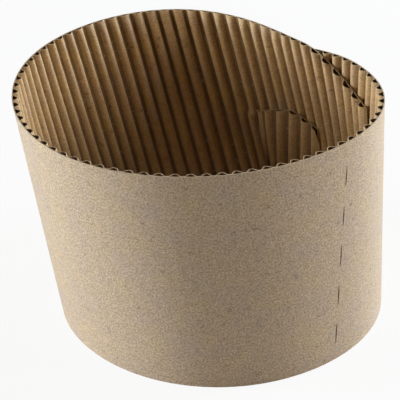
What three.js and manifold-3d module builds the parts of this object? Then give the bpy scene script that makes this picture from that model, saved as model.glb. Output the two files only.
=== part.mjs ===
// Cup sleeve of single-face corrugated board: one band, rolled once and a quarter
// round and locked to itself by a tongue. Millimetres, +Z up. The sleeve stands
// on its lower edge at z = 0, with the origin under the middle of its outline.
// The band is laid out flat first. On the flat board x runs across the flutes,
// y runs along them and d is the depth below the smooth outer paper. Then every
// point is carried onto the rolled wall, so cuts and flutes stay one closed body.

import * as THREE from "three";
import { mergeVertices } from "three/addons/utils/BufferGeometryUtils.js";
import Module from "manifold-3d";

const wasm = await Module();
wasm.setup();

// The rolled sleeve, seen from above.
const sleeveHeight = 52;
const rimRadius = 41.2;
const baseRadius = 39.2;
const baseShift = 7.6;
const wrapAngle = 456;
const startAngle = 100;
const baseStartAngle = 101.4;

// A rolled band is never a true circle. Each wave presses it towards an oval, a
// three-sided form and so on: how many sides, how far a side stands out and at
// which angle.
const rimWaves = [
  { sides: 2, out: 1.54, at: -56.6 },
  { sides: 3, out: 1.76, at: -13.3 },
  { sides: 4, out: 0.64, at: -3.2 },
  { sides: 5, out: 0.24, at: 7.5 },
];
const baseWaves = [
  { sides: 2, out: 2.9, at: -98 },
  { sides: 3, out: 1.05, at: -33 },
  { sides: 4, out: 0.5, at: -5 },
];

// The board.
const flutes = 96;
const boardThickness = 1.5;
const linerThickness = 0.25;
const mediumThickness = 0.22;
const glueWidth = 0.72;
const layerGap = 0.3;
const kerf = 0.3;

// The inner layer leaves the outer one between these turned angles.
const tuckStart = 260;
const tuckEnd = 356;

// The ends of the band, whose upper edges fall away.
const innerEndSlopeLength = 22.3;
const innerEndDrop = 7.8;
const outerEndSlopeLength = 55;
const outerEndDrop = 10;

// The lock: flutes are counted from the outer end of the band.
const tongueRootFlute = 4;
const tongueTipFlute = 13;
const tongueReach = 1.16;
const tongueBow = 1.6;
const tongueBowRise = 5;
const tongueBowLength = 16;
const slitFlute = 83;
const slitHeight = 22.4;
const slitCloseLength = 2;
const slitEaseLength = 9;
const slitClearLength = 3;
const pressedThickness = 1;
const pressedLength = 6;

// Upper edge of the tongue on the flat board, from its tip to its root.
const tongueOutline = [
  { fromTip: 0, height: 18.5 },
  { fromTip: 1.8, height: 25.5 },
  { fromTip: 9, height: 26.6 },
  { fromTip: 14, height: 24.8 },
  { fromTip: 21, height: 20.3 },
  { fromTip: 24.5, height: 18 },
];

// The perforated fold line.
const perforations = 5;
const perforationTopX = 61.5;
const perforationTopY = 45;
const perforationFootX = 51.4;
const perforationFootY = 2.9;
const perforationShare = 0.5;
const perforationWidth = 0.35;

const radians = THREE.MathUtils.degToRad;
const smooth = (value, from, to) => THREE.MathUtils.smoothstep(value, from, to);
const layerPitch = boardThickness + layerGap;
const glueLineDepth = linerThickness + mediumThickness;

// Radius of the outer paper at a plan angle, before the inner layer is tucked in.
function planRadius(radius, waves, angle) {
  const bulge = (wave) => wave.out * Math.cos(wave.sides * radians(angle - wave.at));
  return waves.reduce((sum, wave) => sum + bulge(wave), radius);
}

// The path of the outer paper along one edge, walked clockwise from the outer
// end to the inner end in even steps of length.
function edgePath(meanRadius, waves, from, shift) {
  const steps = 1824;
  const points = [];
  for (let i = 0; i <= steps; i += 1) {
    const turned = wrapAngle * i / steps;
    const tuck = layerPitch * smooth(turned, tuckStart, tuckEnd);
    const radius = planRadius(meanRadius, waves, from - turned) - tuck;
    const angle = radians(from - turned);
    points.push(new THREE.Vector2(shift + radius * Math.cos(angle), radius * Math.sin(angle)));
  }
  const lengths = [0];
  for (let i = 1; i <= steps; i += 1) {
    lengths.push(lengths[i - 1] + points[i].distanceTo(points[i - 1]));
  }
  return { points, lengths, total: lengths[steps] };
}

function pointOnPath(path, share) {
  const target = share * path.total;
  let low = 0;
  let high = path.lengths.length - 1;
  while (high - low > 1) {
    const middle = (low + high) >> 1;
    if (path.lengths[middle] <= target) low = middle;
    else high = middle;
  }
  const step = (target - path.lengths[low]) / (path.lengths[high] - path.lengths[low]);
  return path.points[low].clone().lerp(path.points[high], step);
}

const rimPath = edgePath(rimRadius, rimWaves, startAngle, -baseShift);
const basePath = edgePath(baseRadius, baseWaves, baseStartAngle, 0);

// The flat blank is a sector of a ring: both edges are arcs about one centre. It
// lies below the blank, or above it if the sleeve narrows upwards, and then both
// radii are below zero.
const slant = Math.hypot(sleeveHeight, (rimPath.total - basePath.total) * 180 / (Math.PI * wrapAngle));
const rimArcRadius = slant * rimPath.total / (rimPath.total - basePath.total);
const baseArcRadius = rimArcRadius - slant;
const halfSector = rimPath.total / rimArcRadius / 2;
const centreSide = Math.sign(baseArcRadius);
const halfBoard = (baseArcRadius + slant / 2) * Math.sin(halfSector);
const flutePitch = 2 * halfBoard / flutes;

function baseEdge(x) {
  return centreSide * Math.sqrt(baseArcRadius ** 2 - x * x) - baseArcRadius;
}

function rimEdge(x) {
  const arc = centreSide * Math.sqrt(rimArcRadius ** 2 - x * x) - baseArcRadius;
  const innerFall = innerEndDrop * smooth(-x, halfBoard - innerEndSlopeLength, halfBoard);
  const outerFall = outerEndDrop * smooth(x, halfBoard - outerEndSlopeLength, halfBoard);
  return arc - innerFall - outerFall;
}

// Share of the band's length and share of its height at a point of the flat board.
function wallPosition(x, y) {
  const sector = Math.atan(x / (baseArcRadius + y));
  const along = 0.5 - sector / halfSector / 2;
  const up = (centreSide * Math.hypot(x, baseArcRadius + y) - baseArcRadius) / slant;
  return { along, up };
}

function boardX(along, up) {
  return (baseArcRadius + up * slant) * Math.sin((1 - 2 * along) * halfSector);
}

const boundaryX = (index) => halfBoard - index * flutePitch;
const slitX = boundaryX(slitFlute);
const tongueTipX = boundaryX(tongueTipFlute);

// A point of the rolled wall, d below the outer paper.
function wallAt(along, up, d) {
  const nudge = 0.001;
  const here = pointOnPath(basePath, along).lerp(pointOnPath(rimPath, along), up);
  const before = pointOnPath(basePath, along - nudge).lerp(pointOnPath(rimPath, along - nudge), up);
  const after = pointOnPath(basePath, along + nudge).lerp(pointOnPath(rimPath, along + nudge), up);
  const walk = after.sub(before).normalize();
  return new THREE.Vector3(here.x + walk.y * d, here.y - walk.x * d, up * sleeveHeight);
}

function wallPoint(x, y, d) {
  const { along, up } = wallPosition(x, y);
  return wallAt(along, up, d);
}

// Where the same place of the wall lies on the board one turn further in.
function oneTurnIn(path, share) {
  const target = share * path.total;
  const step = path.lengths.findIndex((length) => length >= target);
  const over = (path.lengths[step] - target) / (path.lengths[step] - path.lengths[step - 1]);
  const later = step - over + (path.points.length - 1) * 360 / wrapAngle;
  const whole = Math.min(Math.floor(later), path.lengths.length - 2);
  return THREE.MathUtils.lerp(path.lengths[whole], path.lengths[whole + 1], later - whole) / path.total;
}

// At the slit the tongue passes from outside the inner layer to inside it. Its
// flutes are pressed flatter there, and the board before the slit is pushed
// inwards to let it through.
function tongueSink(fromSlit) {
  return 2 * layerPitch * (1 - smooth(fromSlit, -slitClearLength, slitEaseLength));
}

function pressedShare(fromSlit) {
  const away = smooth(Math.abs(fromSlit), 1, pressedLength);
  return THREE.MathUtils.lerp((pressedThickness - glueLineDepth) / (boardThickness - glueLineDepth), 1, away);
}

function slitSink(fromSlit) {
  const thickness = glueLineDepth + (boardThickness - glueLineDepth) * pressedShare(fromSlit);
  return tongueSink(fromSlit) + thickness - boardThickness;
}

// How far the slit stands open at a height, given as a share of the wall's height.
function slitOpening(up) {
  const top = wallPosition(slitX, slitHeight).up;
  return 1 - smooth(up, top - slitCloseLength / sleeveHeight, top);
}

function besideSlit(x, y, d) {
  return wallPoint(x, y, d + slitSink(x - slitX) * slitOpening(wallPosition(x, y).up));
}

// Past the slit the tongue bows inwards before its tip meets the wall again. It
// lies on a tighter curve than the outer layer it is cut from, so it reaches
// further round.
function onTongue(x, y, d) {
  const { along, up } = wallPosition(x, y);
  const share = THREE.MathUtils.lerp(oneTurnIn(basePath, along), oneTurnIn(rimPath, along), up);
  const fromSlit = boardX(share, up) - slitX;
  const past = Math.max(0, -fromSlit);
  const bow = tongueBow * smooth(past, 0, tongueBowRise) * (1 - smooth(past, tongueBowRise, tongueBowLength));
  const pressed = d < glueLineDepth ? d : glueLineDepth + (d - glueLineDepth) * pressedShare(fromSlit);
  const further = (tongueReach - 1) * past / (2 * halfSector * (baseArcRadius + up * slant));
  return wallAt(along + further, up, pressed + tongueSink(fromSlit) + bow);
}

// Height of the tongue's upper edge: straight from corner to corner of its outline.
function tongueEdge(x) {
  const fromTip = x - tongueTipX;
  const next = tongueOutline.findIndex((corner, i) => i > 0 && corner.fromTip >= fromTip);
  if (next < 0) return tongueOutline[tongueOutline.length - 1].height;
  const [before, after] = [tongueOutline[next - 1], tongueOutline[next]];
  const step = (fromTip - before.fromTip) / (after.fromTip - before.fromTip);
  return THREE.MathUtils.lerp(before.height, after.height, step);
}

// One flute of the board in section. The shares run over one flute from its
// glue line to the next.
const waveMiddle = (boardThickness + linerThickness + mediumThickness) / 2;
const waveHeight = (boardThickness - linerThickness - mediumThickness) / 2;

function innerFace() {
  const points = [];
  for (let i = 1; i <= 5; i += 1) {
    const share = i / 6;
    points.push({ share, d: waveMiddle - waveHeight * Math.cos(2 * Math.PI * share) });
  }
  return points;
}

function channel() {
  const corner = glueWidth / 2 / flutePitch;
  const shoulder = innerFace()[1];
  const slope = waveHeight * 2 * Math.PI / flutePitch * Math.sin(2 * Math.PI * shoulder.share);
  const inset = mediumThickness / Math.hypot(1, slope);
  const shoulderShare = shoulder.share + inset * slope / flutePitch;
  const shoulderDepth = shoulder.d - inset;
  return [
    { share: corner, d: linerThickness },
    { share: shoulderShare, d: shoulderDepth },
    { share: 0.5, d: boardThickness - mediumThickness },
    { share: 1 - shoulderShare, d: shoulderDepth },
    { share: 1 - corner, d: linerThickness },
  ];
}

const innerPoints = innerFace();
const channelPoints = channel();

// The end of one flute, cut across: its rim runs along the outer paper, down at
// the next glue line and back along the wave, with the channel as a hole.
function fluteEndTriangles() {
  const place = (point) => new THREE.Vector2(-point.d, -point.share * flutePitch);
  const rim = [
    { share: 0, d: 0 },
    { share: 1, d: 0 },
    { share: 1, d: glueLineDepth },
    ...innerPoints.toReversed(),
    { share: 0, d: glueLineDepth },
  ].map(place);
  const hole = channelPoints.map(place);
  const all = [...rim, ...hole];
  return THREE.ShapeUtils.triangulateShape(rim, [hole]).map(([a, b, c]) => {
    const area = all[b].clone().sub(all[a]).cross(all[c].clone().sub(all[a]));
    return area > 0 ? [a, b, c] : [a, c, b];
  });
}

const fluteEnd = fluteEndTriangles();
const corners = [];
const triangles = [];

// A row of corners up the board at one x and depth.
function upright(x, d, heights, placeAt) {
  return heights.map((y) => {
    corners.push(placeAt(x, y, d));
    return { y, corner: corners.length - 1 };
  });
}

// The strip of wall from one upright to the next, seen from outside the body
// with the first one on the left.
function strip(left, right) {
  let i = 0;
  let j = 0;
  while (i < left.length - 1 || j < right.length - 1) {
    const nextLeft = i < left.length - 1 ? left[i + 1].y : Infinity;
    const nextRight = j < right.length - 1 ? right[j + 1].y : Infinity;
    const step = nextLeft < nextRight ? left[i + 1] : right[j + 1];
    triangles.push([left[i].corner, right[j].corner, step.corner]);
    if (nextLeft < nextRight) i += 1;
    else j += 1;
  }
}

function capFlute(uprights, upper) {
  const at = uprights.map((row) => (upper ? row[row.length - 1] : row[0]).corner);
  for (const [a, b, c] of fluteEnd) {
    triangles.push(upper ? [at[a], at[b], at[c]] : [at[a], at[c], at[b]]);
  }
}

const thirds = (low, high) => [low, (2 * low + high) / 3, (low + 2 * high) / 3, high];

function heightsBetween(low, high, middle) {
  return [low, ...middle.filter((y) => y > low + 1 && y < high - 1), high];
}

const slitRows = [9, 17, slitHeight - slitCloseLength, slitHeight - slitCloseLength / 2, slitHeight, 34];
const slitFlutes = 3;

function wholeHeights(x) {
  const before = x > slitX - 0.01 && x < slitX + slitFlutes * flutePitch - 0.01;
  return before ? heightsBetween(baseEdge(x), rimEdge(x), slitRows) : thirds(baseEdge(x), rimEdge(x));
}

function wholeBoard(x, y, d) {
  return x > slitX && x < slitX + slitEaseLength ? besideSlit(x, y, d) : wallPoint(x, y, d);
}

const lowerHeights = (x) => heightsBetween(baseEdge(x), tongueEdge(x) - kerf / 2, [3, 12]);
const upperHeights = (x) => heightsBetween(tongueEdge(x) + kerf / 2, rimEdge(x), [34]);

// The outer-paper corner rows and the glue-line corner rows at one glue line.
function gluePair(x, heights, placeAt) {
  return { outer: upright(x, 0, heights, placeAt), inner: upright(x, glueLineDepth, heights, placeAt) };
}

const joinPairs = (below, above) => ({
  outer: [...below.outer, ...above.outer],
  inner: [...below.inner, ...above.inner],
});
const sliceRows = (pair, from, to) => ({
  outer: pair.outer.slice(from, to),
  inner: pair.inner.slice(from, to),
});

// Every glue line, as it is met from the flute before it and the flute after it.
function glueLines() {
  const lines = [];
  for (let index = 0; index <= flutes; index += 1) {
    const x = boundaryX(index);
    if (index === tongueRootFlute) {
      const cut = tongueEdge(x);
      const low = heightsBetween(baseEdge(x), cut, [3, 12]);
      const high = heightsBetween(cut, rimEdge(x), [34]);
      const whole = gluePair(x, [...low, ...high.slice(1)], wallPoint);
      const lower = sliceRows(whole, 0, low.length);
      const upper = sliceRows(whole, low.length - 1);
      lines.push({ before: { whole }, after: { lower, upper } });
    } else if (index > tongueRootFlute && index < tongueTipFlute) {
      const lower = gluePair(x, lowerHeights(x), onTongue);
      const upper = gluePair(x, upperHeights(x), wallPoint);
      lines.push({ before: { lower, upper }, after: { lower, upper } });
    } else if (index === tongueTipFlute) {
      const lower = gluePair(x + kerf, lowerHeights(x + kerf), onTongue);
      const upper = gluePair(x, upperHeights(x), wallPoint);
      const beside = gluePair(x, lowerHeights(x), wallPoint);
      const whole = joinPairs(beside, upper);
      const wall = joinPairs(beside, sliceRows(upper, 0, 1));
      strip(wall.outer, wall.inner);
      strip(lower.inner, lower.outer);
      lines.push({ before: { lower, upper }, after: { whole } });
    } else if (index === slitFlute) {
      const heights = wholeHeights(x);
      const open = heights.indexOf(slitHeight);
      const above = gluePair(x, heights.slice(open), wallPoint);
      const before = gluePair(x + kerf, [baseEdge(x + kerf), ...heights.slice(1, open)], besideSlit);
      const behind = gluePair(x, heights.slice(0, open), wallPoint);
      const slitEnd = sliceRows(above, 0, 1);
      const wallBefore = joinPairs(before, slitEnd);
      const wallBehind = joinPairs(behind, slitEnd);
      strip(wallBefore.inner, wallBefore.outer);
      strip(wallBehind.outer, wallBehind.inner);
      lines.push({ before: { whole: joinPairs(before, above) }, after: { whole: joinPairs(behind, above) } });
    } else {
      const whole = gluePair(x, wholeHeights(x), wholeBoard);
      lines.push({ before: { whole }, after: { whole } });
    }
  }
  strip(lines[0].after.whole.outer, lines[0].after.whole.inner);
  strip(lines[flutes].before.whole.inner, lines[flutes].before.whole.outer);
  return lines;
}

// One flute between two glue lines, over one stretch of its height.
function addFlute(index, first, last, heights, placeAt) {
  const stand = (point) => {
    const x = boundaryX(index) - point.share * flutePitch;
    return upright(x, point.d, heights(x), placeAt);
  };
  const wave = innerPoints.map(stand);
  const tube = channelPoints.map(stand);
  strip(last.outer, first.outer);
  [first.inner, ...wave].forEach((row, i) => strip(row, wave[i] ?? last.inner));
  for (let i = 0; i < tube.length - 1; i += 1) {
    strip(tube[i + 1], tube[i]);
  }
  strip(tube[0], tube[tube.length - 1]);
  const ends = [first.outer, last.outer, last.inner, ...wave.toReversed(), first.inner, ...tube];
  capFlute(ends, true);
  capFlute(ends, false);
}

function buildBoard() {
  const lines = glueLines();
  for (let index = 0; index < flutes; index += 1) {
    const first = lines[index].after;
    const last = lines[index + 1].before;
    if (first.whole) {
      addFlute(index, first.whole, last.whole, wholeHeights, wholeBoard);
    } else {
      addFlute(index, first.lower, last.lower, lowerHeights, onTongue);
      addFlute(index, first.upper, last.upper, upperHeights, wallPoint);
    }
  }
  const geometry = new THREE.BufferGeometry().setFromPoints(corners);
  geometry.setIndex(triangles.flat());
  return geometry;
}

// One short cut of the perforated line, standing square to the wall.
function perforationCutter(from, to) {
  const lineX = (share) => THREE.MathUtils.lerp(perforationTopX, perforationFootX, share);
  const lineY = (share) => THREE.MathUtils.lerp(perforationTopY, perforationFootY, share);
  const start = wallPoint(lineX(from), lineY(from), boardThickness / 2);
  const end = wallPoint(lineX(to), lineY(to), boardThickness / 2);
  const middle = (from + to) / 2;
  const outside = wallPoint(lineX(middle), lineY(middle), 0);
  const inside = wallPoint(lineX(middle), lineY(middle), boardThickness);
  const along = end.clone().sub(start);
  const through = outside.clone().sub(inside);
  const across = along.clone().cross(through).normalize();
  const box = new THREE.BoxGeometry(perforationWidth, along.length(), 3 * boardThickness);
  const up = along.clone().normalize();
  const frame = new THREE.Matrix4().makeBasis(across, up, across.clone().cross(up));
  frame.setPosition(outside.add(inside).multiplyScalar(0.5));
  return box.applyMatrix4(frame);
}

function toSolid(geometry) {
  geometry.deleteAttribute("normal");
  geometry.deleteAttribute("uv");
  const merged = mergeVertices(geometry);
  return new wasm.Manifold(new wasm.Mesh({
    numProp: 3,
    vertProperties: new Float32Array(merged.attributes.position.array),
    triVerts: new Uint32Array(merged.index.array),
  }));
}

function fromSolid(solid) {
  const mesh = solid.getMesh();
  const geometry = new THREE.BufferGeometry();
  geometry.setAttribute("position", new THREE.BufferAttribute(mesh.vertProperties, 3));
  geometry.setIndex(new THREE.BufferAttribute(mesh.triVerts, 1));
  geometry.computeVertexNormals();
  return geometry;
}

// Moves the geometry so that the middle of its outline in plan is at x = y = 0.
function centreInPlan(geometry) {
  geometry.computeBoundingBox();
  const middle = geometry.boundingBox.getCenter(new THREE.Vector3());
  return geometry.translate(-middle.x, -middle.y, 0);
}

function makeSleeve() {
  let solid = toSolid(buildBoard());
  const period = 1 / (perforations - 1 + perforationShare);
  for (let i = 0; i < perforations; i += 1) {
    const from = i * period;
    solid = solid.subtract(toSolid(perforationCutter(from, from + perforationShare * period)));
  }
  const kraft = new THREE.MeshStandardMaterial({ color: 0xb9a78c, roughness: 0.9, metalness: 0 });
  const sleeve = new THREE.Mesh(centreInPlan(fromSolid(solid)), kraft);
  sleeve.name = "sleeve";
  return sleeve;
}

const cupSleeve = new THREE.Group();
cupSleeve.name = "cup_sleeve";
cupSleeve.add(makeSleeve());

export default cupSleeve;
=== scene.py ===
# %% [markdown]
# # A cup sleeve of corrugated board
#
# The sleeve is a strip of single-face board: one smooth paper with a fluted
# paper glued to its inner side. The strip is cut flat, rolled once and a quarter
# round with the flutes inside, and locked by a tongue pushed through a slit.
#
# A rolled sleeve could be sculpted as a cone, but then the flutes, the overlap
# and the lock would each have to be invented. Here both papers are made as flat
# sheets, cut where the real ones are cut, and then carried onto the rolled wall.

# %% Load the fixed frame
import math

import bpy
import numpy as np
from mathutils import Matrix, Vector


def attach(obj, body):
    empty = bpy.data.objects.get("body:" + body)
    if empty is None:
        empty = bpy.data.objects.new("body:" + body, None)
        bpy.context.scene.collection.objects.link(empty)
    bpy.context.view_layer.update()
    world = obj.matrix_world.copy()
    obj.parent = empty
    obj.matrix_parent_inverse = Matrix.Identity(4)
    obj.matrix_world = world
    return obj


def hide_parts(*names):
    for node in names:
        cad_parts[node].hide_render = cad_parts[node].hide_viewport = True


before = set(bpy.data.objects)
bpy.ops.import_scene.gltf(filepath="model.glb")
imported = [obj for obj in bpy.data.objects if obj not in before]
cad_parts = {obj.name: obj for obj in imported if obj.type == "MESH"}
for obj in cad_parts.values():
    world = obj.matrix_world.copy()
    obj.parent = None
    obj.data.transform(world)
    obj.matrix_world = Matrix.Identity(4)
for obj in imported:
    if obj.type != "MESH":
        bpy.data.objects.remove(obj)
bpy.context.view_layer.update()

MM = 0.001

# %% [markdown]
# ## Sizes of the sleeve
#
# All lengths are in millimetres and all angles in degrees. The rim and the base
# are nearly round, but a rolled strip is never a true circle. Each wave presses
# it towards an oval, a three-sided form and so on: how many sides, how far a
# side stands out, and at which angle.

# %% Sizes
SLEEVE_HEIGHT = 52
RIM_RADIUS = 41.2
BASE_RADIUS = 39.2
BASE_SHIFT = 7.6
WRAP_ANGLE = 456
RIM_START = 100
BASE_START = 101.4
RIM_WAVES = [(2, 1.54, -56.6), (3, 1.76, -13.3), (4, 0.64, -3.2), (5, 0.24, 7.5)]
BASE_WAVES = [(2, 2.9, -98), (3, 1.05, -33), (4, 0.5, -5)]

FLUTES = 96
BOARD_THICKNESS = 1.5
LINER_THICKNESS = 0.2
MEDIUM_THICKNESS = 0.17
DOME_SHARE = 0.72
DOME_FULLNESS, DOME_FOOT = 2.4, 1.2
LAYER_GAP = 0.3
LAYER_PITCH = BOARD_THICKNESS + LAYER_GAP
TUCK_START = 260
TUCK_END = 356

INNER_END_SLOPE, INNER_END_DROP = 22.3, 7.8
OUTER_END_SLOPE, OUTER_END_DROP = 55, 10

# %% [markdown]
# ## The rolled wall
#
# The outer paper follows one closed-looking curve at the rim and another at the
# base. Both start at the outer end of the strip and run clockwise. Straight lines
# between equal shares of the two curves make the wall, as a bent sheet does.

# %% Paths of the rim and the base


def smooth(value, low, high):
    share = np.clip((value - low) / (high - low), 0, 1)
    return share * share * (3 - 2 * share)


def edge_path(mean_radius, waves, start, shift):
    turned = np.linspace(0, WRAP_ANGLE, 1825)
    angle = np.radians(start - turned)
    radius = mean_radius - LAYER_PITCH * smooth(turned, TUCK_START, TUCK_END)
    for sides, out, at in waves:
        radius = radius + out * np.cos(sides * (angle - math.radians(at)))
    x = shift + radius * np.cos(angle)
    y = radius * np.sin(angle)
    walked = np.concatenate([[0], np.cumsum(np.hypot(np.diff(x), np.diff(y)))])
    return {"x": x, "y": y, "turned": turned, "share": walked / walked[-1], "length": walked[-1]}


rim_path = edge_path(RIM_RADIUS, RIM_WAVES, RIM_START, -BASE_SHIFT)
base_path = edge_path(BASE_RADIUS, BASE_WAVES, BASE_START, 0)
print("rim path", round(rim_path["length"], 1), "base path", round(base_path["length"], 1))

# %% [markdown]
# ## The flat strip
#
# Laid flat, the strip is a sector of a ring, because its rim is longer than its
# base. On the flat strip x runs across the flutes and y along them. Every place
# on it has a share of the strip's length and a share of its height, and these
# two numbers find the same place on the rolled wall.

# %% Flat strip
length_gain = rim_path["length"] - base_path["length"]
slant = math.hypot(SLEEVE_HEIGHT, length_gain / math.radians(WRAP_ANGLE))
rim_arc = slant * rim_path["length"] / length_gain
base_arc = rim_arc - slant
half_sector = rim_path["length"] / rim_arc / 2
half_board = (base_arc + slant / 2) * math.sin(half_sector)
flute_pitch = 2 * half_board / FLUTES
print("flute pitch", round(flute_pitch, 3), "radius of the base arc", round(base_arc))


def base_edge(x):
    return np.sqrt(base_arc**2 - x * x) - base_arc


def rim_edge(x):
    arc = np.sqrt(rim_arc**2 - x * x) - base_arc
    inner_fall = INNER_END_DROP * smooth(-x, half_board - INNER_END_SLOPE, half_board)
    outer_fall = OUTER_END_DROP * smooth(x, half_board - OUTER_END_SLOPE, half_board)
    return arc - inner_fall - outer_fall


def wall_position(x, y):
    along = 0.5 - np.arctan2(x, base_arc + y) / half_sector / 2
    up = (np.hypot(x, base_arc + y) - base_arc) / slant
    return along, up


def on_path(path, axis, along):
    """Straight on past the ends, where the square ends of the strip reach further."""
    share, value = path["share"], path[axis]
    at_start = (value[1] - value[0]) / (share[1] - share[0])
    at_end = (value[-1] - value[-2]) / (share[-1] - share[-2])
    beyond = np.minimum(along, 0) * at_start + np.maximum(along - 1, 0) * at_end
    return np.interp(along, share, value) + beyond


def plan_point(along, up):
    x = on_path(base_path, "x", along) * (1 - up) + on_path(rim_path, "x", along) * up
    y = on_path(base_path, "y", along) * (1 - up) + on_path(rim_path, "y", along) * up
    return x, y


def wall_at(along, up, depth):
    """A point of the rolled wall, depth below the outer face of the outer paper."""
    x, y = plan_point(along, up)
    x_before, y_before = plan_point(along - 0.001, up)
    x_after, y_after = plan_point(along + 0.001, up)
    step = np.hypot(x_after - x_before, y_after - y_before)
    inward_x, inward_y = (y_after - y_before) / step, (x_before - x_after) / step
    return np.stack([x + inward_x * depth, y + inward_y * depth, up * SLEEVE_HEIGHT], axis=-1)


# %% [markdown]
# ## The lock
#
# The tongue is cut out of the outer end and pushed inwards through a slit in the
# layer below. Its flutes are pressed flat where it passes the slit, the board
# before the slit bends in to let it through, and past the slit the tongue bows
# inwards until its tip meets the wall again. High up, the lip of the slit rests
# on the tongue, and lower down it stands off a little. The die has crushed the
# flutes at the tongue's tip.

# %% Lock
KERF = 0.3
TONGUE_ROOT, TONGUE_TIP = 4, 13
TONGUE_FROM_TIP = [0, 1.5, 9, 14, 21, 24.5]
TONGUE_HEIGHTS = [18.5, 25.5, 26.6, 24.8, 20.3, 18]
TIP_THICKNESS, TIP_CRUSH_LENGTH = 0.7, 3
TONGUE_REACH = 1.16
TONGUE_BOW, TONGUE_BOW_RISE, TONGUE_BOW_LENGTH = 1.6, 5, 16
SLIT_FLUTE = 83
SLIT_KERF = 0.05
SLIT_HEIGHT = 22.4
SLIT_CLOSE_LENGTH = 2
SLIT_EASE_LENGTH = 9
SLIT_CLEAR_LENGTH = 3
PRESSED_THICKNESS = 1
PRESSED_LENGTH = 6
LOOSE_HEIGHT, TIGHT_HEIGHT = 6, 14

slit_x = half_board - SLIT_FLUTE * flute_pitch
tongue_tip_x = half_board - TONGUE_TIP * flute_pitch
glue_depth = LINER_THICKNESS + MEDIUM_THICKNESS


def tongue_sink(from_slit):
    return 2 * LAYER_PITCH * (1 - smooth(from_slit, -SLIT_CLEAR_LENGTH, SLIT_EASE_LENGTH))


def pressed_share(from_slit):
    flattest = (PRESSED_THICKNESS - glue_depth) / (BOARD_THICKNESS - glue_depth)
    return flattest + (1 - flattest) * smooth(np.abs(from_slit), 1, PRESSED_LENGTH)


def beside_slit(x, y, depth):
    along, up = wall_position(x, y)
    from_slit = x - slit_x
    thickness = glue_depth + (BOARD_THICKNESS - glue_depth) * pressed_share(from_slit)
    slit_top = wall_position(slit_x, SLIT_HEIGHT)[1]
    opening = 1 - smooth(up, slit_top - SLIT_CLOSE_LENGTH / SLEEVE_HEIGHT, slit_top)
    resting = smooth(y, LOOSE_HEIGHT, TIGHT_HEIGHT) * (1 - smooth(from_slit, 0, SLIT_EASE_LENGTH))
    sink = tongue_sink(from_slit) + thickness - BOARD_THICKNESS - LAYER_GAP * resting
    return wall_at(along, up, depth + sink * opening)


def one_turn_in(path, share):
    turned = np.interp(share, path["share"], path["turned"]) + 360
    return np.interp(turned, path["turned"], path["share"])


def on_tongue(x, y, depth):
    along, up = wall_position(x, y)
    inner_share = one_turn_in(base_path, along) * (1 - up) + one_turn_in(rim_path, along) * up
    arc = base_arc + up * slant
    from_slit = arc * np.sin((1 - 2 * inner_share) * half_sector) - slit_x
    past = np.maximum(0, -from_slit)
    bow = smooth(past, 0, TONGUE_BOW_RISE) * (1 - smooth(past, TONGUE_BOW_RISE, TONGUE_BOW_LENGTH))
    crushed = (TIP_THICKNESS - glue_depth) / (BOARD_THICKNESS - glue_depth)
    at_tip = crushed + (1 - crushed) * smooth(x - tongue_tip_x, 0, TIP_CRUSH_LENGTH)
    pressed = glue_depth + (depth - glue_depth) * pressed_share(from_slit) * at_tip
    depth = np.where(depth < glue_depth, depth, pressed)
    further = (TONGUE_REACH - 1) * past / (2 * half_sector * arc)
    return wall_at(along + further, up, depth + tongue_sink(from_slit) + TONGUE_BOW * bow)


def tongue_edge(x):
    """Upper edge of the tongue, straight from corner to corner of its outline."""
    return np.interp(x - tongue_tip_x, TONGUE_FROM_TIP, TONGUE_HEIGHTS)


# %% [markdown]
# ## Two flat papers
#
# Each paper starts as a plain grid, one column for every sixteenth of a flute.
# One row of the grid follows the tongue's upper edge and ends at the top of the
# slit, so both cuts run along edges of the grid. Splitting those edges is what
# the cutting die does: the faces stay, and the two sides come free.

# %% Cut a flat paper
COLUMNS_PER_FLUTE = 16
LOWER_ROWS = [0, 0.25, 0.5, 0.7, 0.82, 0.91, 0.935, 0.96, 0.98, 1]
UPPER_ROWS = [0.08, 0.2, 0.4, 0.65, 0.9, 0.96, 1]
ROWS = len(LOWER_ROWS) + len(UPPER_ROWS) - 1
CUT_ROW = len(LOWER_ROWS) - 1


def deselect_everything():
    if bpy.context.mode != "OBJECT":
        bpy.ops.object.mode_set(mode="OBJECT")
    bpy.ops.object.select_all(action="DESELECT")


def grid_places(mesh):
    """Flute number and row number of every point of the grid."""
    flat = np.zeros(len(mesh.vertices) * 3)
    mesh.vertices.foreach_get("co", flat)
    flat = flat.reshape(-1, 3)
    return (0.5 - flat[:, 0]) * FLUTES, (flat[:, 1] + 0.5) * ROWS


def cut_paper(name):
    deselect_everything()
    bpy.ops.mesh.primitive_grid_add(
        x_subdivisions=FLUTES * COLUMNS_PER_FLUTE, y_subdivisions=ROWS, size=1
    )
    paper = bpy.context.object
    paper.name = name
    bpy.ops.object.mode_set(mode="EDIT")
    bpy.ops.mesh.select_mode(type="EDGE")
    bpy.ops.mesh.select_all(action="DESELECT")
    bpy.ops.object.mode_set(mode="OBJECT")
    flute, row = grid_places(paper.data)
    for edge in paper.data.edges:
        a, b = edge.vertices
        f, r = (flute[a] + flute[b]) / 2, (row[a] + row[b]) / 2
        tongue_top = abs(r - CUT_ROW) < 0.01 and TONGUE_ROOT < f < TONGUE_TIP
        upright = r < CUT_ROW and min(abs(f - TONGUE_TIP), abs(f - SLIT_FLUTE)) < 0.01
        edge.select = bool(tongue_top or upright)
    cut = sum(edge.select for edge in paper.data.edges)
    bpy.ops.object.mode_set(mode="EDIT")
    bpy.ops.mesh.edge_split(type="EDGE")
    bpy.ops.object.mode_set(mode="OBJECT")
    print(name, "points", len(paper.data.vertices), "edges cut", cut)
    return paper


outer_paper = cut_paper("outer_paper")
fluted_paper = cut_paper("fluted_paper")

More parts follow.
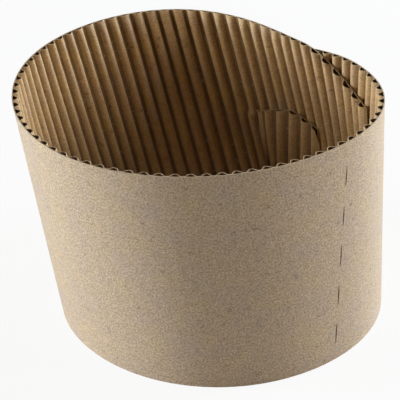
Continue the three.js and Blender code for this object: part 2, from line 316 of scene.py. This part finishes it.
# %% [markdown]
# ## Rolling the papers
#
# Now every point of a grid goes to its place on the wall. The points on either
# side of a cut look alike, so the faces beside them tell which side they are on.
# The fluted paper also rises and falls once in every flute: a round dome about
# two thirds as wide as the flute, then a flat glue line. No two flutes come off
# the rolls alike, so each is crushed and leans a little differently. The glue
# draws the smooth paper in at every glue line by a few hundredths of a
# millimetre, and this faint washboard can be seen on the outside.

# %% Roll a paper onto the wall
GLUE_PULL = 0.012
CRUSH, LEAN = 0.09, 0.03
CRUSH_LEVELS = 5
RIM_CRUSH, RIM_CRUSH_LENGTH = 0.6, 2.5
RIM_CRUSH_FLUTES = (67, 73, 85, 90)
uneven = np.random.default_rng(11)
crush = uneven.uniform(0, CRUSH, (FLUTES, CRUSH_LEVELS))
lean = uneven.uniform(-LEAN, LEAN, (FLUTES, CRUSH_LEVELS))


def face_middles(mesh, flute, row):
    """Mean flute and row number of the faces around every point."""
    total = np.zeros((3, len(mesh.vertices)))
    for face in mesh.polygons:
        corners = list(face.vertices)
        total[0, corners] += flute[corners].mean()
        total[1, corners] += row[corners].mean()
        total[2, corners] += 1
    return total[0] / total[2], total[1] / total[2]


def row_heights(x, row, tongue_side):
    """Height on the flat strip of each grid row, with the cut row on the cut."""
    cut = tongue_edge(np.maximum(x, tongue_tip_x))
    past_tip = smooth(tongue_tip_x - x, 0, 60)
    cut = cut + (SLIT_HEIGHT - cut) * past_tip
    flute = (half_board - x) / flute_pitch
    at_cut = (flute > TONGUE_ROOT + 0.01) & (flute < TONGUE_TIP + 0.01)
    cut = cut + np.where(at_cut, np.where(tongue_side, -KERF / 2, KERF / 2), 0)
    low, high = base_edge(x), rim_edge(x)
    below = low + (cut - low) * np.interp(row, range(CUT_ROW + 1), LOWER_ROWS)
    above = cut + (high - cut) * np.interp(row, range(CUT_ROW, ROWS + 1), [0, *UPPER_ROWS])
    return np.where(row <= CUT_ROW, below, above)


def keep_flat_place(mesh, x, y):
    """Store the place on the flat strip as the UV map, for the finish of the paper."""
    corners = np.zeros(len(mesh.loops), dtype=int)
    mesh.loops.foreach_get("vertex_index", corners)
    flat = np.stack([half_board - x, y], axis=-1) / (2 * half_board)
    mesh.uv_layers.active.data.foreach_set("uv", flat[corners].ravel())


def roll_paper(paper, depth_of):
    mesh = paper.data
    flute, row = grid_places(mesh)
    face_flute, face_row = face_middles(mesh, flute, row)
    x = half_board - flute * flute_pitch
    below_cut = face_row < CUT_ROW
    tongue = below_cut & (face_flute > TONGUE_ROOT) & (face_flute < TONGUE_TIP)
    x = x + np.where(tongue, KERF * np.clip(flute - TONGUE_TIP + 1, 0, 1), 0)
    before = (flute > SLIT_FLUTE - 0.01) & (face_flute < SLIT_FLUTE) & (row < CUT_ROW)
    x = x + np.where(before, SLIT_KERF, 0)
    y = row_heights(x, row, tongue)
    keep_flat_place(mesh, x, y)
    near_slit = (x > slit_x + 0.01) & (x < slit_x + SLIT_EASE_LENGTH)
    depth = depth_of(flute, y)
    place = wall_at(*wall_position(x, y), depth)
    place = np.where(near_slit[:, None], beside_slit(x, y, depth), place)
    place = np.where(tongue[:, None], on_tongue(x, y, depth), place)
    mesh.vertices.foreach_set("co", place.ravel())
    mesh.update()
    return place


def liner_depth(flute, y):
    drawn_in = GLUE_PULL * (1 + np.cos(2 * math.pi * flute)) / 2
    return LINER_THICKNESS / 2 + drawn_in


def medium_depth(flute, y):
    low = LINER_THICKNESS + MEDIUM_THICKNESS / 2
    high = BOARD_THICKNESS - MEDIUM_THICKNESS / 2
    whole = np.clip(np.floor(flute), 0, FLUTES - 1).astype(int)
    level = np.clip(y / SLEEVE_HEIGHT, 0, 0.999) * (CRUSH_LEVELS - 1)
    lower = level.astype(int)
    part = level - lower
    crushed = crush[whole, lower] * (1 - part) + crush[whole, lower + 1] * part
    leaned = lean[whole, lower] * (1 - part) + lean[whole, lower + 1] * part
    in_flute = flute - whole
    off_middle = in_flute - 0.5 + leaned * np.sin(math.pi * in_flute) ** 2
    across = np.clip(np.abs(off_middle) / (DOME_SHARE / 2), 0, 1)
    dome = (1 - across**DOME_FULLNESS) ** DOME_FOOT
    below_rim = rim_edge(half_board - flute * flute_pitch) - y
    start, full, still_full, end = RIM_CRUSH_FLUTES
    at_rim = smooth(flute, start, full) * (1 - smooth(flute, still_full, end))
    at_rim = at_rim * (1 - smooth(below_rim, 0, RIM_CRUSH_LENGTH))
    return low + (high - low) * dome * (1 - crushed) * (1 - RIM_CRUSH * at_rim)


outer_places = roll_paper(outer_paper, liner_depth)
roll_paper(fluted_paper, medium_depth)

# %% [markdown]
# The middle of the sleeve's outline in plan is the origin, and the mesh is in
# metres, as the frame is. The grids were drawn with the outer end on the left, so
# their faces are turned to look outwards if they look in.

# %% Centre and scale
outline_middle = (outer_places.min(axis=0) + outer_places.max(axis=0)) / 2
for paper in (outer_paper, fluted_paper):
    for point in paper.data.vertices:
        place = point.co - Vector((outline_middle[0], outline_middle[1], 0))
        point.co = place * MM
    face = paper.data.polygons[0]
    if face.normal.dot(Vector((face.center.x, face.center.y, 0))) < 0:
        paper.data.flip_normals()
    paper.data.update()
print("outline middle in mm", outline_middle.round(3))

# %% [markdown]
# ## The finish of kraft paper
#
# Kraft paper is pressed pulp. Close up it is never one colour: there are broad
# ochre and pinkish-grey clouds, a fine speckle of pulp, a few long fibres, darker
# and lighter, and rare specks of bark and old ink. All of these lie in the sheet,
# so the patterns are drawn on the flat strip, in millimetres, by the UV map that
# was stored before rolling, and they follow the paper through every bend.
#
# A small helper adds a node, joins what it is given to the node's sockets and
# returns it, so that each finish below reads as a list of its layers.

# %% Add a node


def add_node(tree, kind, sockets, **settings):
    node = tree.nodes.new(kind)
    for setting, value in settings.items():
        setattr(node, setting, value)
    for name, value in sockets.items():
        if isinstance(value, bpy.types.NodeSocket):
            tree.links.new(value, node.inputs[name])
        else:
            node.inputs[name].default_value = value
    return node


def blend_colours(tree, share, first, second, way="MIX"):
    """Socket numbers, because a Mix node has sockets of one name for each kind of data."""
    sockets = {0: share, 6: first, 7: second}
    return add_node(tree, "ShaderNodeMix", sockets, data_type="RGBA", blend_type=way).outputs[2]


def spread(tree, value, low, high, to_low=0, to_high=1):
    """Carry the range low..high of a value to another range, and stop at its ends."""
    sockets = {"Value": value, "From Min": low, "From Max": high, "To Min": to_low, "To Max": to_high}
    return add_node(tree, "ShaderNodeMapRange", sockets).outputs[0]


# %% [markdown]
# ## Fibres and specks
#
# A noise has the value one half along long, wandering lines. Keeping only a
# narrow band around that value draws hairs, and a second noise breaks them into
# short fibres. Specks are the middles of cells, kept in only a few of the cells.

# %% Fibres and specks of the paper


def pulp_noise(tree, sheet, scale, detail, roughness=0.5):
    sockets = {"Vector": sheet, "Scale": scale, "Detail": detail, "Roughness": roughness}
    return add_node(tree, "ShaderNodeTexNoise", sockets).outputs["Fac"]


def fibres(tree, sheet, moved, width, share):
    sheet = add_node(tree, "ShaderNodeVectorMath", {0: sheet, 1: (moved, moved, 0)}).outputs[0]
    line = pulp_noise(tree, sheet, 0.5, 1)
    off_line = add_node(tree, "ShaderNodeMath", {0: line, 1: 0.5}, operation="SUBTRACT").outputs[0]
    off_line = add_node(tree, "ShaderNodeMath", {0: off_line}, operation="ABSOLUTE").outputs[0]
    hair = spread(tree, off_line, 0, width, 1, 0)
    broken = spread(tree, pulp_noise(tree, sheet, 0.42, 0), share, share + 0.04)
    return add_node(tree, "ShaderNodeMath", {0: hair, 1: broken}, operation="MULTIPLY").outputs[0]


def specks(tree, sheet, scale, size, share):
    cells = add_node(tree, "ShaderNodeTexVoronoi", {"Vector": sheet, "Scale": scale})
    dot = spread(tree, cells.outputs["Distance"], size * 0.5, size, 1, 0)
    red = add_node(tree, "ShaderNodeSeparateColor", {0: cells.outputs["Color"]}).outputs[0]
    kept = add_node(tree, "ShaderNodeMath", {0: red, 1: share}, operation="LESS_THAN").outputs[0]
    return add_node(tree, "ShaderNodeMath", {0: dot, 1: kept}, operation="MULTIPLY").outputs[0]


# %% Kraft paper


def kraft_paper(name, ochre, grey, seed, shine, mottle, glue_and_groove_shade=0):
    material = bpy.data.materials.new(name)
    material.use_nodes = True
    tree = material.node_tree
    place = add_node(tree, "ShaderNodeTexCoord", {}).outputs["UV"]
    in_mm = {"Vector": place, "Location": (seed * 40, seed * 25, 0), "Scale": [2 * half_board] * 3}
    sheet = add_node(tree, "ShaderNodeMapping", in_mm).outputs[0]

    clouds = spread(tree, pulp_noise(tree, sheet, 0.14, 4, 0.65), 0.36, 0.64)
    colour = blend_colours(tree, clouds, (*ochre, 1), (*grey, 1))
    soft = spread(tree, pulp_noise(tree, sheet, 0.6, 2), 0.2, 0.8, 0.9, 1.1)
    colour = blend_colours(tree, 1, colour, soft, "MULTIPLY")
    pulp = pulp_noise(tree, sheet, 2.4, 3, 0.6)
    speckle = spread(tree, pulp, 0.3, 0.7, 1 - mottle, 1 + mottle)
    colour = blend_colours(tree, 1, colour, speckle, "MULTIPLY")
    # Painted shade: on the fluted side the colour is darkened nearly to black along each glue line at the bottom
    # of the grooves. This is partly the real glue line and mostly the shade that falls there.
    across = add_node(tree, "ShaderNodeSeparateXYZ", {0: place}).outputs[0]
    flute = add_node(tree, "ShaderNodeMath", {0: across, 1: FLUTES}, operation="MULTIPLY").outputs[0]
    off_line = add_node(tree, "ShaderNodeMath", {0: flute, 1: 0.5}, operation="PINGPONG").outputs[0]
    glue_and_groove_shade_share = spread(tree, off_line, 0.1, 0.24, glue_and_groove_shade, 0)
    colour = blend_colours(tree, glue_and_groove_shade_share, colour, (0.12, 0.065, 0.025, 1))

    pale = fibres(tree, sheet, 13, 0.03, 0.56)
    dark = fibres(tree, sheet, 57, 0.022, 0.63)
    bark = specks(tree, sheet, 0.3, 0.055, 0.1)
    ink = specks(tree, sheet, 0.11, 0.05, 0.06)
    pale_share = add_node(tree, "ShaderNodeMath", {0: pale, 1: 0.25}, operation="MULTIPLY").outputs[0]
    dark_share = add_node(tree, "ShaderNodeMath", {0: dark, 1: 0.55}, operation="MULTIPLY").outputs[0]
    colour = blend_colours(tree, pale_share, colour, (0.72, 0.64, 0.5, 1))
    colour = blend_colours(tree, dark_share, colour, (0.16, 0.1, 0.05, 1))
    colour = blend_colours(tree, bark, colour, (0.05, 0.03, 0.02, 1))
    colour = blend_colours(tree, ink, colour, (0.16, 0.19, 0.24, 1))

    relief = add_node(tree, "ShaderNodeMath", {0: pulp, 1: pale}, operation="ADD").outputs[0]
    bump = add_node(tree, "ShaderNodeBump", {"Height": relief, "Strength": 0.5, "Distance": 0.03 * MM})
    shader = tree.nodes["Principled BSDF"]
    tree.links.new(colour, shader.inputs["Base Color"])
    tree.links.new(spread(tree, pulp, 0.3, 0.7, 0.62, 0.76), shader.inputs["Roughness"])
    tree.links.new(bump.outputs[0], shader.inputs["Normal"])
    shader.inputs["Specular IOR Level"].default_value = shine
    shader.inputs["Sheen Weight"].default_value = 0.3
    shader.inputs["Sheen Roughness"].default_value = 0.4
    return material


outer_face = kraft_paper("kraft_outer_face", (0.505, 0.384, 0.243), (0.47, 0.361, 0.27), 1, shine=0.4, mottle=0.45)
fluted_face = kraft_paper("kraft_flutes", (0.655, 0.455, 0.222), (0.615, 0.43, 0.262), 2, shine=0.12, mottle=0.22, glue_and_groove_shade=0.8)
print("paper finishes:", outer_face.name, fluted_face.name)

# %% [markdown]
# ## The finish of a cut edge, and painted shade in the channels
#
# The die crushes and tears the fibres, so a cut edge is duller than the face and
# rough at a tenth of a millimetre. It is far too narrow for a pattern on the
# sheet, so its grain is a noise in space, on Object coordinates. The same finish,
# made nearly black, is painted shade: it covers the paper sides that face into
# the closed channels and the walls of the perforation cuts.

# %% Cut edge and painted channel shade


def torn_edge_and_painted_shade(name, light, dark):
    material = bpy.data.materials.new(name)
    material.use_nodes = True
    tree = material.node_tree
    place = add_node(tree, "ShaderNodeTexCoord", {}).outputs["Object"]
    grain = pulp_noise(tree, place, 4 / MM, 3)
    colour = blend_colours(tree, spread(tree, grain, 0.3, 0.7), (*dark, 1), (*light, 1))
    bump = add_node(tree, "ShaderNodeBump", {"Height": grain, "Strength": 0.6, "Distance": 0.04 * MM})
    shader = tree.nodes["Principled BSDF"]
    tree.links.new(colour, shader.inputs["Base Color"])
    tree.links.new(bump.outputs[0], shader.inputs["Normal"])
    shader.inputs["Roughness"].default_value = 0.95
    shader.inputs["Specular IOR Level"].default_value = 0.1
    return material


cut_edge = torn_edge_and_painted_shade("kraft_cut_edge", (0.72, 0.58, 0.40), (0.54, 0.42, 0.27))
# Painted shade: a nearly black finish for the paper sides inside the closed channels.
painted_channel_shade = torn_edge_and_painted_shade("kraft_painted_channel_shade", (0.24, 0.13, 0.055), (0.17, 0.09, 0.035))

# %% [markdown]
# ## Thickness
#
# Solidify gives each paper its real thickness, the same all along the flutes'
# curve. Its rim is the cut edge of the paper and takes the material of its own,
# and the side that faces into the closed channels takes the painted channel shade.

# %% Thicken the papers


def thicken(paper, thickness):
    deselect_everything()
    paper.select_set(True)
    bpy.context.view_layer.objects.active = paper
    solid = paper.modifiers.new("Thickness", "SOLIDIFY")
    solid.thickness = thickness * MM
    solid.offset = 0
    solid.use_even_offset = False
    solid.material_offset_rim = 1
    solid.material_offset = 2
    bpy.ops.object.modifier_apply(modifier=solid.name)


# The liner's inner side and the fluted paper's outer side face into the closed channels and take the painted
# channel shade.
for paper, outward_side, inward_side, thickness in (
    (outer_paper, outer_face, painted_channel_shade, LINER_THICKNESS),
    (fluted_paper, painted_channel_shade, fluted_face, MEDIUM_THICKNESS),
):
    for material in (outward_side, cut_edge, inward_side):
        paper.data.materials.append(material)
    thicken(paper, thickness)
    for index, material in enumerate(paper.data.materials):
        faces = [face for face in paper.data.polygons if face.material_index == index]
        outward = sum(face.normal.dot(Vector((*face.center.xy, 0)).normalized()) for face in faces)
        print(paper.name, material.name, len(faces), "faces, look outward", round(outward / len(faces), 2))

# %% [markdown]
# ## The perforated line
#
# Near the right of the photograph a row of short cuts crosses the board at a
# slant, so that the sleeve folds flat. Each cut comes from one tooth of the die:
# a thin wedge, widest in the middle, that goes through both papers. One tooth is
# modelled, copied along the line, and taken out of the papers by a boolean.

# %% One tooth of the die
PERFORATIONS = 5
PERFORATION_TOP = Vector((61.5, 45))
PERFORATION_FOOT = Vector((51.4, 2.9))
PERFORATION_SHARE = 0.5
TOOTH_WIDTH = 0.36
TOOTH_REACH = 4 * BOARD_THICKNESS

period = 1 / (PERFORATIONS - 1 + PERFORATION_SHARE)
cut_length = (PERFORATION_TOP - PERFORATION_FOOT).length * period * PERFORATION_SHARE

deselect_everything()
bpy.ops.mesh.primitive_cube_add(size=1, scale=(TOOTH_WIDTH * MM, cut_length * MM, TOOTH_REACH * MM))
tooth = bpy.context.object
tooth.name = "tooth"
bpy.ops.object.transform_apply(location=False, rotation=False, scale=True)
bpy.ops.object.mode_set(mode="EDIT")
bpy.ops.mesh.select_mode(type="EDGE")
bpy.ops.mesh.select_all(action="DESELECT")
bpy.ops.object.mode_set(mode="OBJECT")
for edge in tooth.data.edges:
    a, b = (tooth.data.vertices[i].co for i in edge.vertices)
    edge.select = abs(a.y - b.y) > cut_length * MM / 2
bpy.ops.object.mode_set(mode="EDIT")
bpy.ops.mesh.subdivide(number_cuts=3)
bpy.ops.object.mode_set(mode="OBJECT")
for point in tooth.data.vertices:
    point.co.x *= 1 - 0.7 * (2 * abs(point.co.y) / (cut_length * MM)) ** 2
print("tooth", round(cut_length, 2), "mm long, points", len(tooth.data.vertices))

# %% Cut the perforated line


def board_place(x, y, depth):
    along, up = wall_position(np.array(x), np.array(y))
    place = Vector(wall_at(along, up, depth)) - Vector((outline_middle[0], outline_middle[1], 0))
    return place * MM


teeth = []
for i in range(PERFORATIONS):
    middle = PERFORATION_TOP.lerp(PERFORATION_FOOT, (i + PERFORATION_SHARE / 2) * period)
    reach = (PERFORATION_TOP - PERFORATION_FOOT).normalized() * cut_length / 2
    outside, inside = board_place(*middle, 0), board_place(*middle, BOARD_THICKNESS)
    along = (board_place(*(middle + reach), 0) - board_place(*(middle - reach), 0)).normalized()
    outward = (outside - inside).normalized()
    across = along.cross(outward)
    deselect_everything()
    tooth.select_set(True)
    bpy.ops.object.duplicate()
    copy = bpy.context.selected_objects[0]
    copy.data.transform(Matrix((across, along, outward)).transposed().to_4x4())
    copy.data.transform(Matrix.Translation((outside + inside) / 2))
    # The tooth carries the painted channel shade, and the boolean passes it on to the walls of each cut as painted
    # shade.
    copy.data.materials.append(painted_channel_shade)
    teeth.append(copy)
bpy.data.objects.remove(tooth)
deselect_everything()
for tooth in teeth:
    tooth.select_set(True)
bpy.context.view_layer.objects.active = teeth[0]
bpy.ops.object.join()
die = bpy.context.object
for paper in (outer_paper, fluted_paper):
    before = len(paper.data.polygons)
    deselect_everything()
    paper.select_set(True)
    bpy.context.view_layer.objects.active = paper
    cut = paper.modifiers.new("Perforations", "BOOLEAN")
    cut.operation = "DIFFERENCE"
    cut.object = die
    cut.material_mode = "TRANSFER"
    bpy.ops.object.modifier_apply(modifier=cut.name)
    print(paper.name, "faces", before, "->", len(paper.data.polygons))
bpy.data.objects.remove(die)

# %% Shade the papers
for paper in (outer_paper, fluted_paper):
    deselect_everything()
    paper.select_set(True)
    bpy.context.view_layer.objects.active = paper
    bpy.ops.object.shade_smooth_by_angle(angle=math.radians(40))
print("smooth up to 40 degrees")

# %% [markdown]
# ## Joining the frame
#
# Both papers stand for the one solid of the frame, and ride with it.

# %% Ride on the frame
for paper in (outer_paper, fluted_paper):
    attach(paper, "root")
    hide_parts("sleeve")

# %% [markdown]
# ## Floor, light and camera
#
# The floor is plain and pale. Seen by the camera it is white, so the object
# stands free, and it still sends soft light back up.

# %% Floor
deselect_everything()
bpy.ops.mesh.primitive_plane_add(size=6)
floor = bpy.context.object
floor.name = "floor"
FLOOR_WHITE = 0.9


def seen_directly(tree):
    """One for what the camera sees, straight on or in a gloss or a glass."""
    path = add_node(tree, "ShaderNodeLightPath", {})
    glossy, through = path.outputs["Is Glossy Ray"], path.outputs["Is Transmission Ray"]
    either = add_node(tree, "ShaderNodeMath", {0: glossy, 1: through}, operation="MAXIMUM").outputs[0]
    sockets = {0: path.outputs["Is Camera Ray"], 1: either}
    return add_node(tree, "ShaderNodeMath", sockets, operation="MAXIMUM").outputs[0]


floor_material = bpy.data.materials.new("pale_floor")
floor_material.use_nodes = True
floor_tree = floor_material.node_tree
pale = floor_tree.nodes["Principled BSDF"]
pale.inputs["Base Color"].default_value = (0.8, 0.8, 0.8, 1)
pale.inputs["Roughness"].default_value = 1
share = {0: seen_directly(floor_tree), 1: FLOOR_WHITE}
share = add_node(floor_tree, "ShaderNodeMath", share, operation="MULTIPLY").outputs[0]
white = add_node(floor_tree, "ShaderNodeEmission", {"Strength": 1}).outputs[0]
mixed = {0: share, 1: pale.outputs[0], 2: white}
mixed = add_node(floor_tree, "ShaderNodeMixShader", mixed).outputs[0]
floor_tree.links.new(mixed, floor_tree.nodes["Material Output"].inputs["Surface"])
floor.data.materials.append(floor_material)

# %% Light
SKY = 0
world = bpy.data.worlds.new("studio")
bpy.context.scene.world = world
world.use_nodes = True
world_tree = world.node_tree
dim = world_tree.nodes["Background"]
dim.inputs["Color"].default_value = (1, 1, 1, 1)
dim.inputs["Strength"].default_value = SKY
bright = add_node(world_tree, "ShaderNodeBackground", {"Color": (1, 1, 1, 1), "Strength": 1})
mixed = {0: seen_directly(world_tree), 1: dim.outputs[0], 2: bright.outputs[0]}
mixed = add_node(world_tree, "ShaderNodeMixShader", mixed).outputs[0]
world_tree.links.new(mixed, world_tree.nodes["World Output"].inputs["Surface"])


def area_light(name, place, size, power, colour):
    deselect_everything()
    bpy.ops.object.light_add(type="AREA", location=place)
    lamp = bpy.context.object
    lamp.name = name
    lamp.data.shape = "DISK"
    lamp.data.size = size
    lamp.data.energy = power
    lamp.data.color = colour
    aim = Vector((0, 0, AIM_HEIGHT)) - Vector(place)
    lamp.rotation_euler = aim.to_track_quat("-Z", "Y").to_euler()
    return lamp


LAMP_DISTANCE = 0.8
AIM_HEIGHT = 0.03
COOL, PLAIN = (0.84, 0.92, 1), (0.95, 1, 1)
WARM, WARMER = (1, 0.91, 0.78), (1, 0.76, 0.5)
LAMPS = {
    "left_low_light": (180, 8, 0.2, 6.7, COOL),
    "left_front_light": (200, 20, 0.3, 2.05, WARM),
    "right_back_light": (20, 20, 0.3, 4.6, COOL),
    "right_front_light": (340, 20, 0.3, 1.0, WARMER),
    "right_high_light": (0, 35, 0.5, 1.3, PLAIN),
    "back_right_light": (45, 8, 0.2, 3.8, PLAIN),
}
for name, (turned, raised, size, power, colour) in LAMPS.items():
    turned, raised = math.radians(turned), math.radians(raised)
    out, up = LAMP_DISTANCE * math.cos(raised), LAMP_DISTANCE * math.sin(raised)
    place = (out * math.cos(turned), out * math.sin(turned), AIM_HEIGHT + up)
    area_light(name, place, size, power, colour)

# %% Camera
CAMERA_PLACE = (-5.336, -438.04, 271.01)
CAMERA_PITCH = 29.481
LENS = 198

camera_place = Vector(CAMERA_PLACE) - Vector((outline_middle[0], outline_middle[1], 0))
bpy.ops.object.camera_add(
    location=camera_place * MM, rotation=(math.radians(90 - CAMERA_PITCH), 0, 0)
)
camera = bpy.context.object
camera.data.lens = LENS
camera.data.clip_start = 0.01
bpy.context.scene.camera = camera
bpy.context.scene.view_settings.view_transform = "Standard"
